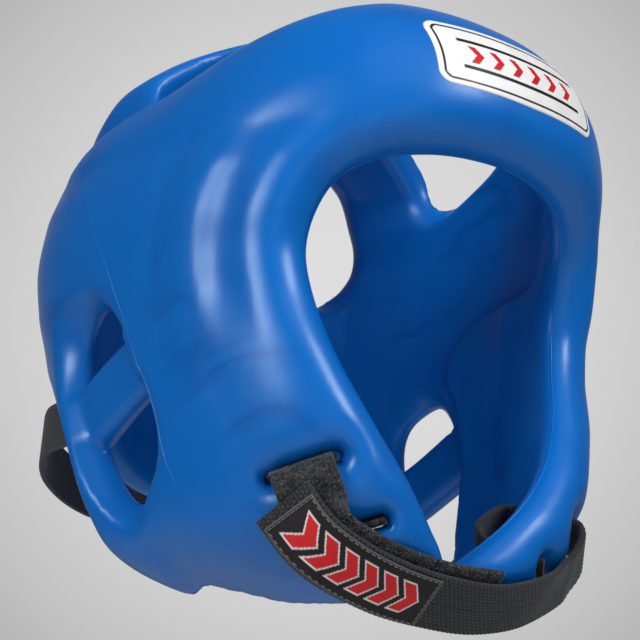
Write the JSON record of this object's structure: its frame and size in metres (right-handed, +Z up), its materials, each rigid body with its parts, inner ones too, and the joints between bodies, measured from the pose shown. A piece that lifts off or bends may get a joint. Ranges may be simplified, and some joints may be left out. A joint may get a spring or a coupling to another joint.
{
  "type": "head guard",
  "caption": "Moulded foam head guard for contact sport with an open face, barred ear openings, an open crown, a hook and loop chin strap and a rear strap.",
  "frame": {"origin": "middle of the wearer's head, level with the brow edge of the face opening", "axes": "-Y is the front, +X is the wearer's left, +Z is up"},
  "size_m": [0.1872, 0.2313, 0.2389],
  "materials": {
    "foam": "satin moulded skin",
    "webbing": "woven",
    "woven_patch": "woven",
    "printed_patch": "printed film"
  },
  "bodies": {
    "root": {"shell": "foam", "chin_strap_loop": "webbing", "chin_strap_hook": "webbing", "chin_label": "woven_patch", "rear_strap": "webbing", "brow_label": "printed_patch"}
  },
  "joints": []
}
